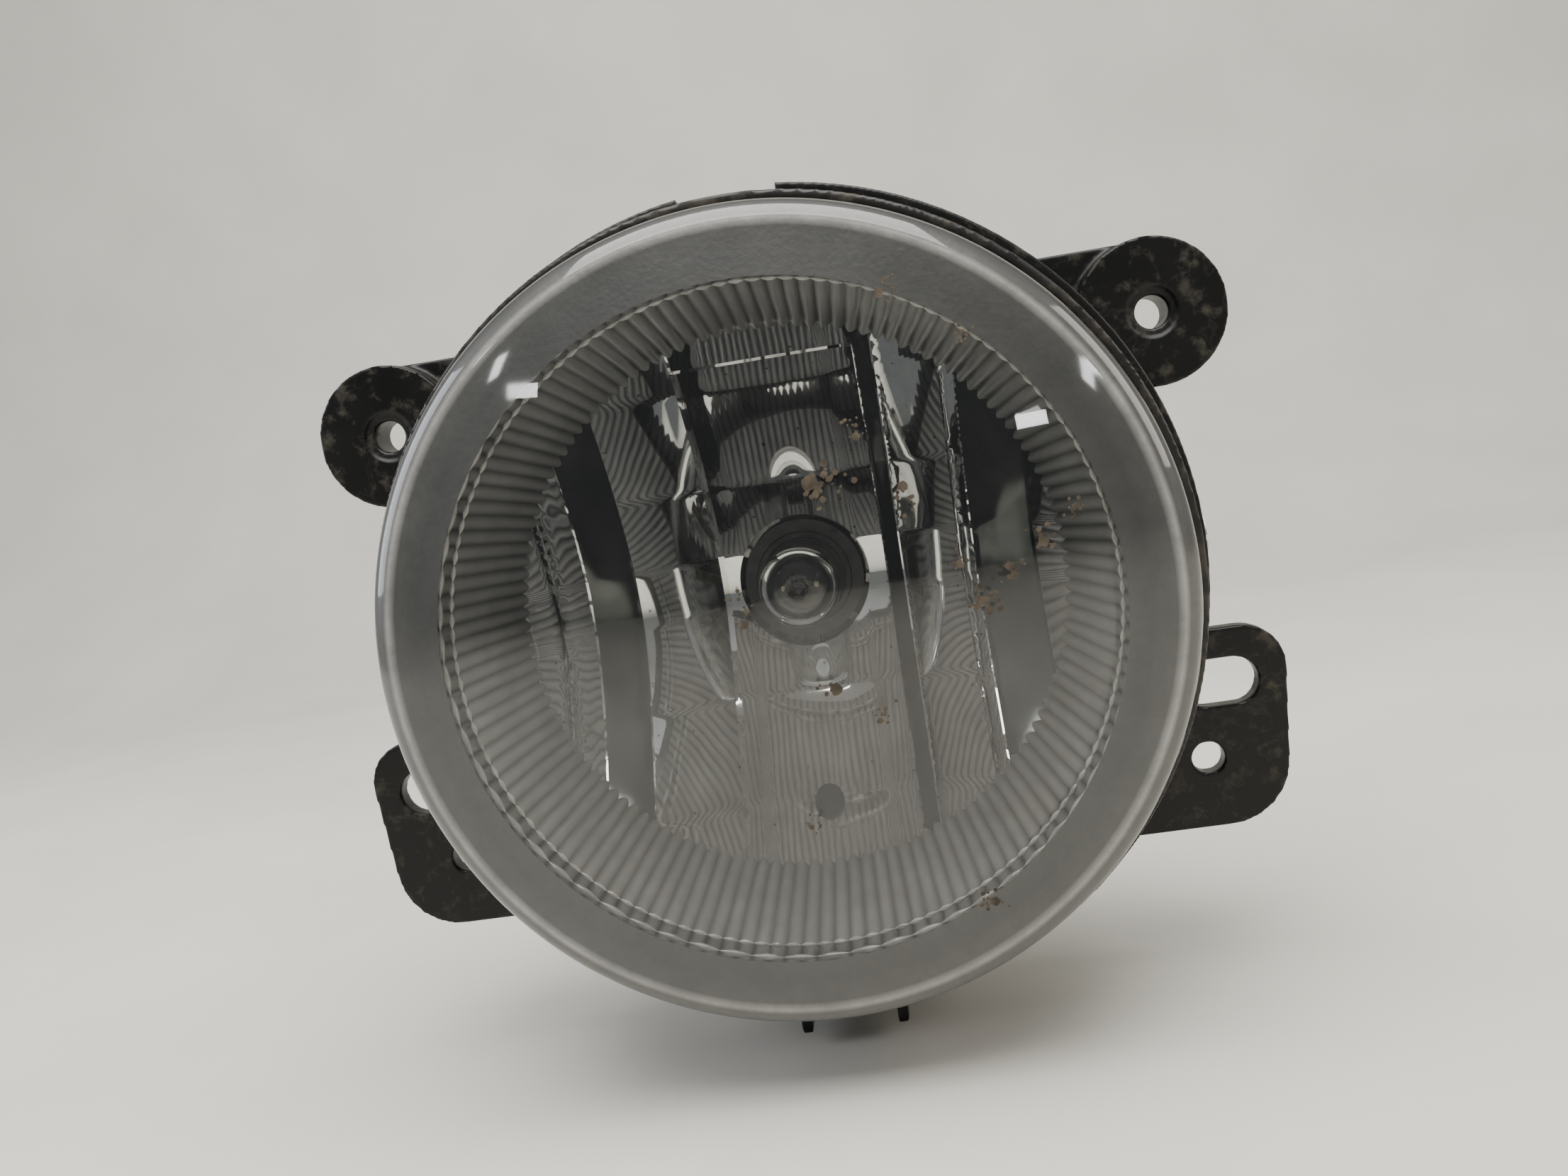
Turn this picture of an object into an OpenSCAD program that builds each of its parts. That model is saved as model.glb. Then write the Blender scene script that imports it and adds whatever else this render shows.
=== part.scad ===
/* [Lens] */
// Radius of the pressed glass lens
lens_r = 50; // [44:0.5:60]
// Rise of the front face from its shoulder to the middle
lens_crown = 5.5; // [3:0.5:9]
// Thickness of the front face
lens_wall = 3.5; // [2.5:0.1:4.5]
// Radius of the rounded front shoulder
shoulder_r = 3.5; // [2:0.5:4.5]
// Length of the glass side that stands in the bonding channel
lens_side = 8; // [7:0.5:11]
// Width of the foot that is bonded into the channel
foot_w = 3.2; // [2.4:0.2:4]
// Distance from the glass side in to the mouth of the fluted skirt
flute_inset = 7; // [6:0.5:9]
// Length of the fluted skirt
skirt_len = 22; // [16:1:26]
// Amount by which the skirt narrows towards the back
skirt_taper = 5.3; // [3:0.1:8]
// Wall of the fluted skirt
skirt_wall = 2.4; // [1.8:0.1:3]

/* [Reflector] */
// Depth of the bowl from its bend to its vertex
bowl_depth = 28.2; // [24:0.2:34]
// Distance of the bowl's vertex behind the mounting plane
bowl_back = 24; // [20:0.5:29]
// Wall of the reflector
refl_wall = 1.5; // [1.2:0.1:2]
// Length of the straight rim around the skirt
rim_len = 13; // [10:0.5:14]
// Radius of the hole that the bulb looks through
bulb_hole_r = 10; // [8.5:0.1:12]
// Radius of the breather hole below the bulb
breather_r = 2.2; // [1.6:0.1:2.6]
// Distance of the breather below the optical axis
breather_drop = 31; // [26:0.5:34]

/* [Housing] */
// Wall of the housing
housing_wall = 2; // [1.6:0.1:2.6]
// Radial gap that the sealant fills around the glass
seal_gap = 0.4; // [0.3:0.05:0.8]
// Thickness of sealant under the foot of the glass
seal_t = 1.5; // [1:0.1:2.2]
// Wall of the lip around the glass
lip_wall = 1.5; // [1.2:0.1:2.4]
// Length of glass side that stands out of the lip
lip_setback = 4.2; // [3:0.2:5]
// Length of the neck that holds the bulb
neck_len = 10.2; // [9.6:0.2:13]
// Wall of the neck
neck_wall = 2.6; // [2:0.2:3.4]

/* [Mounting frame] */
// Distance of the glass edge in front of the mounting plane
glass_lead = 27; // [26:0.1:32.4]
// Wall of the ring around the lamp
ring_wall = 2.6; // [2:0.2:3.6]
// Length of the ring from front to back
ring_len = 20; // [18:1:24]
// Distance of the bolt holes outside the ring
tab_reach = 7.1; // [6:0.1:10]
// Angle of the bolt holes above and below the middle
tab_angle = 30; // [28:1:34]
// Radius of the bolt holes
bolt_hole_r = 2.25; // [1.8:0.05:3.2]
// Radius of the thick upper bosses
boss_r = 10.1; // [9:0.1:12]
// Thickness of the upper bosses
boss_t = 7; // [5:0.5:9]
// Thickness of the lower plates
plate_t = 3; // [2.4:0.2:4.5]
// Distance of the slots' centres outside the ring
slot_reach = 5.3; // [5.2:0.1:7]
// Angle of the slots below the middle
slot_angle = 20; // [18:0.5:21]
// Overall length of the slots
slot_len = 10.4; // [8:0.2:10.6]
// Half the width of the slots
slot_r = 3.3; // [2.4:0.1:3.6]

/* [Pivot and aim adjuster] */
// Radius of the pivot pins
pivot_r = 2; // [1.5:0.1:2.6]
// Distance of the adjuster screw outside the edge of the glass
aim_reach = 6; // [6:0.5:18]
// Radius of the adjuster screw
aim_screw_r = 2.4; // [1.8:0.1:3]
// Radius of the nut's side pegs
peg_r = 1.5; // [1.2:0.1:1.8]
// Largest tilt of the lamp each way, in degrees
aim_tilt = 3.5; // [2:0.5:4]
// Radius of the adjuster knob
knob_r = 5; // [4.5:0.5:7]

/* [Bulb] */
// Radius of the bulb's glass
glass_r = 6; // [5:0.1:7]
// Distance that the glass stands in front of its holder
glass_len = 16.5; // [12:0.5:20]
// Angle that the bulb turns to unlock, in degrees
unlock_angle = 40; // [30:1:42]
// Width of each locking lug, in degrees
lug_angle = 30; // [24:1:32]
// Width of the connector hood
hood_w = 16.4; // [14:0.2:20]
// Distance of the hood's mouth from the bulb's axis
hood_drop = 31; // [28:0.5:34]

/* [Hidden] */

// Clearances: a running fit, a free gap and a gap across a moving joint
run_fit = 0.05;
free_gap = 0.3;
side_gap = 0.2;
over = 1;

$fn = 72;
dome_steps = 12;
curve_steps = 14;
shoulder_steps = 6;

// The origin is on the optical axis in the plane of the four bolt holes.
// The lamp looks along -Y, +X is to the right of someone who faces it, +Z is up.
glass_y = -glass_lead;
dome_r = lens_r - shoulder_r;
apex_y = glass_y - shoulder_r - lens_crown;
foot_y = glass_y + lens_side;
foot_in_r = lens_r - foot_w;
mouth_r = lens_r - flute_inset;
mouth_y = glass_y + 2;
web_y = mouth_y + 3;
skirt_end_y = mouth_y + skirt_len;
flute_end_r = mouth_r - skirt_taper;

function sphere_r(chord, rise) = (chord * chord + rise * rise) / (2 * rise);
function dome_y(r) = apex_y + sphere_r(dome_r, lens_crown)
  - sqrt(pow(sphere_r(dome_r, lens_crown), 2) - r * r);
function skirt_out_r(y) = mouth_r + skirt_wall - skirt_taper * (y - web_y) / (skirt_end_y - web_y);

// Lip and channel of the housing around the glass
lip_in_r = lens_r + seal_gap;
lip_out_r = lip_in_r + lip_wall;
lip_y = glass_y + lip_setback;
floor_y = foot_y + seal_t;
flange_back_y = floor_y + housing_wall;

// Reflector: a bowl behind a straight rim that passes outside the skirt
rim_y = floor_y + side_gap;
bend_y = bowl_back - bowl_depth;
refl_in_r = skirt_out_r(rim_y) + 2 * free_gap;
refl_out_r = refl_in_r + refl_wall;
function bowl_y(r) = bowl_back - bowl_depth * pow(r / refl_in_r, 2);
function bowl_out(r) = let (s = 2 * bowl_depth * r / pow(refl_in_r, 2), n = norm([s, 1]))
  [r + refl_wall * s / n, bowl_y(r) + refl_wall / n];
collar_r = bulb_hole_r + 1.6;
collar_y = bowl_y(bulb_hole_r) + 2.8;

// Housing: a larger bowl of the same form, with a neck for the bulb
cup_in_r = refl_out_r + 0.8;
cup_out_r = cup_in_r + housing_wall;
cup_bend_y = bend_y + 3.8;
cup_back_in = bowl_back + refl_wall + 5.3;
cup_back_out = cup_back_in + 1.35 * housing_wall;
function cup_in_y(r) = cup_back_in - (cup_back_in - cup_bend_y) * pow(r / cup_in_r, 2);
function cup_out_y(r) = cup_back_out - (cup_back_out - cup_bend_y) * pow(r / cup_out_r, 2);

// Bulb, its bayonet and the neck around them, from front to back
nose_r = bulb_hole_r - 0.7;
lug_r = bulb_hole_r + 1.4;
lug_t = 2.3;
nose_y = bowl_y(bulb_hole_r) + 0.8;
neck_in_r = lug_r + 1.2;
neck_out_r = neck_in_r + neck_wall;
neck_y = collar_y + 0.6;
neck_end_y = neck_y + neck_len;
lug_y = neck_y + 0.6;
ring_y = lug_y + lug_t + free_gap;
ring_t = 2;
groove_y = ring_y + ring_t + 0.7;
groove_w = 2.6;
groove_r = nose_r + 0.8;
collar_out_r = neck_in_r - 0.4;
o_ring_r = (neck_in_r - 2 * run_fit - groove_r) / 2;
cap_y = neck_end_y + free_gap;
cap_t = 2.4;
cap_r = neck_out_r - 0.4;
rib_t = 1.6;
body_r = 11;
hood_y = cap_y + cap_t;
hood_t = 11.5;
hood_wall = 2;
blade_z = -23;
stop_angle = 8;
stop_gap = 1;
slot_ease = 0.4;

// Glass envelope and what is in it
glass_wall = 1;
glass_seat = 3.6;
glass_tip_y = nose_y - glass_len;
wire_r = 0.4;
wire_x = 2.4;
wire_y = glass_tip_y + 5.4;

// Mounting frame
ring_gap = 0.5;
ring_in_r = lip_out_r + ring_gap;
ring_out_r = ring_in_r + ring_wall;
ring_front_y = -ring_len / 2;
ring_back_y = ring_len / 2;
hole_x = (ring_out_r + tab_reach) * cos(tab_angle);
hole_z = (ring_out_r + tab_reach) * sin(tab_angle);
slot_x = (ring_out_r + slot_reach) * cos(slot_angle);
slot_z = -(ring_out_r + slot_reach) * sin(slot_angle);
web_back = 3.5;
web_half = boss_r - 0.2;
notch_half = 6.5;

// Shallow recess around each upper bolt hole
recess_w = 1.3;
recess_t = 0.4;

// Pivots on the X axis
pad_r = pivot_r + 3.6;
pad_in_x = ring_in_r - 0.4;
pad_out_x = ring_out_r + 0.3;
bush_flange = 0.8;
pivot_bush_r = pivot_r + 1.2;
pin_boss_r = pivot_r + 3;
pin_boss_x = pad_in_x - bush_flange - side_gap;
pin_in_x = cup_in_r + 0.6;
pin_head_r = pivot_r + 1.6;
pin_head_x = pad_out_x + side_gap;
pin_head_t = 1;

// Adjuster: nut in the housing's fork, screw in the frame's lug, below the pivot axis
aim_arm = lens_r + aim_reach;
nut_half_x = aim_screw_r + 1.2;
nut_half_y = 3.2;
fork_in_x = nut_half_x + free_gap;
fork_out_x = fork_in_x + 1.5;
fork_half_y = 3.5;
peg_out_x = fork_out_x - 0.1;
fin_in_x = fork_out_x + 0.53;
fin_t = 1.5;
fin_front_y = ring_front_y - 1;
fin_z = -(aim_arm + 3.1);
aim_travel = aim_arm * sin(aim_tilt);
push_nut_y = aim_travel + nut_half_y + 0.8;
push_nut_t = 0.9;
lug_front_y = push_nut_y + push_nut_t + free_gap;
aim_lug_t = 4.6;
lug_back_y = lug_front_y + aim_lug_t;
aim_bush_r = aim_screw_r + 1.2;
bush_head_t = 1;
aim_wall = 1.1;
knob_y = lug_back_y + bush_head_t + side_gap;
knob_t = 6.6;
knob_grips = 12;
screw_tip_y = -(aim_travel + nut_half_y + 0.8);
screw_back_y = knob_y + 5;
window_y = screw_tip_y - 0.6;

// Screws that hold the reflector, and the breather
fix_angles = [0, 120, 240];
fix_r = refl_in_r - 8.7;
fix_screw_r = 1.5;
post_r = 3.4;
post_y = bowl_y(fix_r) + 6.9;
fix_boss_r = 5.2;
fix_boss_y = post_y + side_gap + 7.7;
fix_head_r = 3.4;
fix_head_t = 2;
spigot_r = 3.4;
spigot_y = cup_out_y(breather_drop - 5.2) + 7.6;
elbow_r = 5.2;
elbow_y = cup_out_y(breather_drop - elbow_r) + 0.6;
elbow_down_y = spigot_y - 3.1;
elbow_down_r = 4.4;
elbow_len = 14;

// Points of an arc that rounds the corner q between p and s
function unit(v) = v / norm(v);
function corner(p, q, s, r, n = 6) =
  let (
    u = unit(p - q),
    v = unit(s - q),
    half = acos(u * v) / 2,
    c = q + unit(u + v) * r / sin(half),
    a = q + u * r / tan(half) - c,
    b = q + v * r / tan(half) - c,
    a0 = atan2(a.y, a.x),
    turn = atan2(a.x * b.y - a.y * b.x, a * b)
  )
  [for (i = [0:n]) c + r * [cos(a0 + turn * i / n), sin(a0 + turn * i / n)]];

// Outline of a sector, with angles measured from +Z towards +X
function sector(r0, r1, a0, a1, n = 8) = concat(
  [for (i = [0:n]) let (a = a0 + (a1 - a0) * i / n) r1 * [sin(a), cos(a)]],
  [for (i = [n:-1:0]) let (a = a0 + (a1 - a0) * i / n) r0 * [sin(a), cos(a)]]
);

// Solid turned about the optical axis from points of [radius, y]
module turned(points) {
  rotate([-90, 0, 0])
    rotate_extrude($fn = 120)
      polygon(points);
}

module rod_x(r, x0, x1, y = 0, z = 0) {
  translate([x0, y, z])
    rotate([0, 90, 0])
      cylinder(r = r, h = x1 - x0);
}

module rod_y(r, y0, y1, x = 0, z = 0) {
  translate([x, y0, z])
    rotate([-90, 0, 0])
      cylinder(r = r, h = y1 - y0);
}

module rod_z(r, z0, z1, x = 0, y = 0) {
  translate([x, y, z0])
    cylinder(r = r, h = z1 - z0);
}

module block(low, high) {
  translate(low)
    cube(high - low);
}

// Flat plate with an outline in X and Z
module plate(points, y0, y1) {
  translate([0, y1, 0])
    rotate([90, 0, 0])
      linear_extrude(y1 - y0)
        polygon(points);
}

module both_sides() {
  children();
  mirror([1, 0, 0])
    children();
}

// ---- Mounting frame and its bushes ----

module slot_cut() {
  reach = slot_len / 2 - slot_r;
  rod_y(slot_r, -over, plate_t + over, slot_x - reach, slot_z);
  rod_y(slot_r, -over, plate_t + over, slot_x + reach, slot_z);
  block(
    [slot_x - reach, -over, slot_z - slot_r],
    [slot_x + reach, plate_t + over, slot_z + slot_r]
  );
}

module upper_tab() {
  rod_y(boss_r, 0, boss_t, hole_x, hole_z);
  block([hole_x - 18, web_back, hole_z - web_half], [hole_x, boss_t, hole_z + web_half]);
  for (z = [hole_z - web_half + 0.4, hole_z + web_half - 2.2])
    block([hole_x - 14, boss_t - 0.5, z], [hole_x - 5, ring_back_y - 1, z + 1.8]);
}

module lower_tab() {
  top = slot_z + slot_r + 4.3;
  side = slot_x + slot_len / 2 + 4.5;
  low = -hole_z - 10;
  foot = hole_x + 10.3;
  inner = hole_x - 18;
  points = concat(
    [[inner, low], [inner, top]],
    corner([inner, top], [side, top], [foot, low], 6),
    corner([side, top], [foot, low], [inner, low], 9)
  );
  plate(points, 0, plate_t);
  for (z = [top - 1.8, low])
    block([hole_x - 16, plate_t - 0.5, z], [hole_x - 5, ring_back_y - 2, z + 1.8]);
}

module aim_lug() {
  both_sides()
    block([fin_in_x, fin_front_y, fin_z], [fin_in_x + fin_t, lug_back_y, -ring_in_r - 0.4]);
  block(
    [-fin_in_x - 0.1, lug_front_y, -aim_arm - aim_bush_r - aim_wall],
    [fin_in_x + 0.1, lug_back_y, -aim_arm + aim_bush_r + aim_wall]
  );
}

module mounting_frame() {
  color("#1d1c1b")
    difference() {
      union() {
        difference() {
          union() {
            rod_y(ring_out_r, ring_front_y, ring_back_y, $fn = 144);
            both_sides() {
              upper_tab();
              lower_tab();
            }
          }
          rod_y(ring_in_r, ring_front_y - over, ring_back_y + over, $fn = 144);
        }
        both_sides()
          rod_x(pad_r, pad_in_x, pad_out_x);
        aim_lug();
      }
      both_sides() {
        for (z = [-hole_z, hole_z])
          rod_y(bolt_hole_r, -over, boss_t + over, hole_x, z);
        rod_y(bolt_hole_r + recess_w, -over, recess_t, hole_x, hole_z);
        slot_cut();
        rod_x(pivot_bush_r, pad_in_x - over, pad_out_x + over);
      }
      rod_y(aim_bush_r, lug_front_y - over, lug_back_y + over, 0, -aim_arm);
      block(
        [-fin_in_x, window_y, -ring_out_r - over],
        [fin_in_x, lug_front_y, -ring_in_r + 2]
      );
      block(
        [-notch_half, ring_front_y - over, ring_in_r - 2],
        [notch_half, ring_front_y + 8, ring_out_r + over]
      );
    }
}

module pivot_bush() {
  difference() {
    union() {
      rod_x(pivot_r + 2.8, pad_in_x - bush_flange, pad_in_x);
      rod_x(pivot_bush_r, pad_in_x - bush_flange, pad_out_x);
    }
    rod_x(pivot_r + run_fit, pad_in_x - bush_flange - over, pad_out_x + over);
  }
}

module pivot_bush_left() {
  color("#d9d4c4")
    mirror([1, 0, 0])
      pivot_bush();
}

module pivot_bush_right() {
  color("#d9d4c4")
    pivot_bush();
}

module adjuster_bush() {
  color("#d9d4c4")
    difference() {
      union() {
        rod_y(aim_bush_r, lug_front_y, lug_back_y, 0, -aim_arm);
        rod_y(aim_bush_r + 1.3, lug_back_y, lug_back_y + bush_head_t, 0, -aim_arm);
      }
      rod_y(aim_screw_r + run_fit, lug_front_y - over, lug_back_y + 3, 0, -aim_arm);
    }
}

// ---- Aim adjuster ----

module adjuster_screw() {
  color("#b9b8ae")
    rod_y(aim_screw_r, screw_tip_y, screw_back_y, 0, -aim_arm);
}

module adjuster_knob() {
  color("#e6e3d8")
    difference() {
      rod_y(knob_r, knob_y, knob_y + knob_t, 0, -aim_arm);
      rod_y(aim_screw_r, knob_y - over, screw_back_y, 0, -aim_arm);
      for (i = [0:knob_grips - 1])
        translate([0, 0, -aim_arm])
          rotate([0, i * 360 / knob_grips, 0])
            rod_y(0.7, knob_y - over, knob_y + knob_t + over, 0, knob_r + 0.2);
      for (turn = [0, 90])
        translate([0, 0, -aim_arm])
          rotate([0, turn, 0])
            block([-3, screw_back_y, -0.7], [3, knob_y + knob_t + over, 0.7]);
    }
}

module adjuster_push_nut() {
  color("#a9abad")
    difference() {
      rod_y(aim_screw_r + 2, push_nut_y, push_nut_y + push_nut_t, 0, -aim_arm);
      rod_y(aim_screw_r, push_nut_y - over, push_nut_y + push_nut_t + over, 0, -aim_arm);
    }
}

module adjuster_nut() {
  color("#e6e3d8")
    difference() {
      union() {
        block(
          [-nut_half_x, -nut_half_y, -aim_arm - nut_half_x],
          [nut_half_x, nut_half_y, -aim_arm + nut_half_x]
        );
        rod_x(peg_r, -peg_out_x, peg_out_x, 0, -aim_arm);
      }
      rod_y(aim_screw_r + run_fit, -nut_half_y - over, nut_half_y + over, 0, -aim_arm);
    }
}

// ---- Lamp unit ----

module housing_fork() {
  both_sides()
    block([fork_in_x, -fork_half_y, -aim_arm - 2.8], [fork_out_x, fork_half_y, 1 - cup_out_r]);
  block(
    [-fork_out_x, -fork_half_y, nut_half_x + 1.9 - aim_arm],
    [fork_out_x, fork_half_y, 1 - cup_out_r]
  );
}

// Upright rib behind the bowl, drawn in X and Y
module housing_rib() {
  far_r = cup_out_r - 5;
  translate([0, 0, -rib_t / 2])
    linear_extrude(rib_t)
      polygon([
        [neck_out_r - 1, cup_back_in], [neck_out_r - 1, neck_end_y - 1],
        [neck_out_r + 5, neck_end_y - 2], [far_r - 2, cup_out_y(far_r - 2) + 3.5],
        [far_r, cup_out_y(far_r) - 1], [far_r - 7, cup_in_y(far_r - 7)]
      ]);
}

module housing() {
  outer = concat(
    [[0, lip_y], [lip_out_r, lip_y], [lip_out_r, flange_back_y], [cup_out_r, flange_back_y]],
    [
      for (i = [curve_steps:-1:0])
        let (r = neck_out_r + (cup_out_r - neck_out_r) * i / curve_steps) [r, cup_out_y(r)]
    ],
    [[neck_out_r, neck_end_y], [0, neck_end_y]]
  );
  cavity = concat(
    [
      [0, lip_y - over], [lip_in_r, lip_y - over], [lip_in_r, floor_y],
      [cup_in_r, floor_y]
    ],
    [
      for (i = [curve_steps:-1:0])
        let (r = neck_out_r + (cup_in_r - neck_out_r) * i / curve_steps) [r, cup_in_y(r)]
    ],
    [
      [neck_out_r, neck_y], [neck_in_r, neck_y],
      [neck_in_r, neck_end_y + over], [0, neck_end_y + over]
    ]
  );
  color("#201f1e")
    difference() {
      union() {
        turned(outer);
        both_sides()
          rod_x(pin_boss_r, pin_in_x - 2, pin_boss_x);
        housing_fork();
        for (turn = [-30, 0, 60, 120, 180, 210])
          rotate([0, turn, 0])
            housing_rib();
        for (turn = fix_angles)
          rotate([0, turn, 0])
            rod_y(fix_boss_r, bend_y, fix_boss_y, 0, fix_r);
        rod_y(spigot_r, bend_y, spigot_y, 0, -breather_drop);
      }
      turned(cavity);
      both_sides()
        rod_x(pivot_r, pin_in_x, pin_boss_x + over);
      rod_x(peg_r + 0.12, -fork_out_x - over, fork_out_x + over, 0, 0.4 - aim_arm);
      block(
        [-fork_out_x - over, -peg_r - 0.12, -aim_arm - 4],
        [fork_out_x + over, peg_r + 0.12, 0.4 - aim_arm]
      );
      for (turn = fix_angles)
        rotate([0, turn, 0]) {
          rod_y(post_r + free_gap, bend_y - over, post_y + side_gap, 0, fix_r);
          rod_y(fix_screw_r + free_gap, 0, fix_boss_y + over, 0, fix_r);
        }
      rod_y(spigot_r - 1.4, bend_y - over, spigot_y + over, 0, -breather_drop);
    }
}

module lens() {
  profile = concat(
    [for (i = [0:dome_steps]) let (r = dome_r * i / dome_steps) [r, dome_y(r)]],
    [
      for (i = [1:shoulder_steps])
        let (a = 90 * i / shoulder_steps)
        [dome_r + shoulder_r * sin(a), glass_y - shoulder_r * cos(a)]
    ],
    [
      [lens_r, foot_y], [foot_in_r, foot_y], [foot_in_r, web_y],
      [skirt_out_r(web_y), web_y], [skirt_out_r(skirt_end_y), skirt_end_y],
      [flute_end_r, skirt_end_y], [mouth_r, mouth_y]
    ],
    [
      for (i = [dome_steps:-1:0])
        let (r = (mouth_r - 1) * i / dome_steps) [r, dome_y(r) + lens_wall]
    ]
  );
  color("#c9cfcc", 0.45)
    turned(profile);
}

module lens_sealant() {
  color("#2a241d")
    turned([
      [cup_in_r, foot_y], [lens_r, foot_y], [lens_r, lip_y + 0.5], [lip_in_r, lip_y + 0.5],
      [lip_in_r, floor_y], [cup_in_r, floor_y]
    ]);
}

module reflector() {
  shell = concat(
    [[refl_in_r, rim_y]],
    [
      for (i = [curve_steps:-1:0])
        let (r = bulb_hole_r + (refl_in_r - bulb_hole_r) * i / curve_steps) [r, bowl_y(r)]
    ],
    [[bulb_hole_r, collar_y], [collar_r, collar_y]],
    [
      for (i = [1:curve_steps])
        let (r = bulb_hole_r + (refl_in_r - bulb_hole_r) * i / curve_steps) bowl_out(r)
    ],
    [[refl_out_r, bowl_out(refl_in_r).y], [refl_out_r, rim_y]]
  );
  bowl = concat(
    [[0, bend_y - 3], [refl_in_r, bend_y - 3]],
    [
      for (i = [curve_steps:-1:0])
        let (r = bulb_hole_r + (refl_in_r - bulb_hole_r) * i / curve_steps) [r, bowl_y(r)]
    ],
    [[0, bowl_y(bulb_hole_r)]]
  );
  color("#c4c7c8")
    difference() {
      union() {
        turned(shell);
        for (turn = fix_angles)
          rotate([0, turn, 0])
            rod_y(post_r, bend_y, post_y, 0, fix_r);
      }
      turned(bowl);
      for (turn = fix_angles)
        rotate([0, turn, 0])
          rod_y(fix_screw_r, post_y - 3.6, post_y + over, 0, fix_r);
      rod_y(breather_r, bend_y, cup_back_in, 0, -breather_drop);
    }
}

module reflector_screws() {
  color("#9a9c9e")
    for (turn = fix_angles)
      rotate([0, turn, 0])
        difference() {
          union() {
            rod_y(fix_screw_r, post_y - 3.4, fix_boss_y, 0, fix_r);
            rod_y(fix_head_r, fix_boss_y, fix_boss_y + fix_head_t, 0, fix_r);
          }
          for (arm = [[2, 0.4], [0.4, 2]])
            block(
              [-arm.x, fix_boss_y + fix_head_t - 1.2, fix_r - arm.y],
              [arm.x, fix_boss_y + fix_head_t + over, fix_r + arm.y]
            );
        }
}

module pivot_pin() {
  difference() {
    union() {
      rod_x(pivot_r, pin_in_x, pin_head_x + pin_head_t);
      rod_x(pin_head_r, pin_head_x, pin_head_x + pin_head_t);
    }
    block(
      [pin_head_x + 0.5, -pin_head_r - over, -0.4],
      [pin_head_x + pin_head_t + over, pin_head_r + over, 0.4]
    );
  }
}

module pivot_pin_left() {
  color("#a6a8aa")
    mirror([1, 0, 0])
      pivot_pin();
}

module pivot_pin_right() {
  color("#a6a8aa")
    pivot_pin();
}

module bayonet_ring() {
  color("#b4b4ae")
    difference() {
      union() {
        rod_y(neck_in_r, ring_y, ring_y + ring_t);
        for (turn = [0, 120, 240]) {
          low = turn - lug_angle / 2 - stop_gap;
          high = turn + unlock_angle + lug_angle / 2 + stop_gap;
          for (from = [low - stop_angle, high])
            plate(
              sector(nose_r - 1, neck_in_r - 0.1, from, from + stop_angle),
              lug_y, ring_y + ring_t / 2
            );
        }
      }
      rod_y(nose_r + free_gap, lug_y - over, ring_y + ring_t + over);
      for (turn = [0, 120, 240]) {
        low = turn + unlock_angle - lug_angle / 2 - slot_ease;
        high = turn + unlock_angle + lug_angle / 2 + slot_ease;
        plate(sector(nose_r - 1, lug_r + free_gap, low, high), ring_y, ring_y + ring_t + over);
      }
    }
}

module vent_elbow() {
  color("#242321")
    difference() {
      union() {
        rod_y(elbow_r, elbow_y, spigot_y + 2, 0, -breather_drop);
        rod_z(elbow_down_r, -breather_drop - elbow_len, -breather_drop, 0, elbow_down_y);
      }
      rod_y(spigot_r, elbow_y - over, spigot_y, 0, -breather_drop);
      rod_z(
        elbow_down_r - 2, -breather_drop - elbow_len - over,
        -breather_drop - spigot_r + 0.5, 0, elbow_down_y
      );
    }
}

// ---- Bulb ----

module bulb_wires() {
  color("#c8b68e")
    both_sides()
      rod_y(wire_r, wire_y, nose_y + glass_seat + 1.5, wire_x, 0);
}

module bulb_terminals() {
  color("#c9c3a8")
    both_sides()
      block(
        [1.6, hood_y + hood_t / 2 - 0.4, blade_z],
        [4.4, hood_y + hood_t / 2 + 0.4, -body_r + 2]
      );
}

module bulb_filament() {
  color("#8d8d8d")
    rod_x(0.6, -wire_x + wire_r, wire_x - wire_r, wire_y + 0.8, 0);
}

module bulb_glass() {
  inner = glass_r - glass_wall;
  tip = glass_r * 0.6;
  color("#d6dad8", 0.4)
    difference() {
      turned(concat(
        [
          for (i = [0:8])
            let (a = 90 * i / 8) [glass_r * sin(a), glass_tip_y + tip * (1 - cos(a))]
        ],
        [[glass_r, nose_y + glass_seat], [0, nose_y + glass_seat]]
      ));
      turned(concat(
        [
          for (i = [0:8])
            let (a = 90 * i / 8)
            [inner * sin(a), glass_tip_y + glass_wall + (tip - glass_wall / 2) * (1 - cos(a))]
        ],
        [[inner, nose_y + 1], [0, nose_y + 1]]
      ));
      bulb_wires();
    }
}

module bulb_base() {
  hood_x = hood_w / 2;
  color("#2b2b29")
    difference() {
      union() {
        rod_y(nose_r, nose_y, groove_y);
        rod_y(groove_r, groove_y - 0.1, groove_y + groove_w);
        rod_y(collar_out_r, groove_y + groove_w, cap_y);
        rod_y(cap_r, cap_y, cap_y + cap_t);
        rod_y(body_r, cap_y, hood_y + hood_t);
        for (turn = [0, 120, 240])
          plate(
            sector(nose_r - 1, lug_r, turn - lug_angle / 2, turn + lug_angle / 2),
            lug_y, lug_y + lug_t
          );
        block([-hood_x, hood_y, -hood_drop], [hood_x, hood_y + hood_t, -body_r + 5]);
        block([-2.2, hood_y + hood_t - over, -hood_drop + 3], [2.2, hood_y + hood_t + 1.4, 5 - hood_drop]);
      }
      block(
        [-hood_x + hood_wall, hood_y + hood_wall, -hood_drop - over],
        [hood_x - hood_wall, hood_y + hood_t - hood_wall, -body_r - 2]
      );
      rod_y(glass_r, nose_y - over, nose_y + glass_seat);
      bulb_wires();
      bulb_terminals();
    }
}

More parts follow.
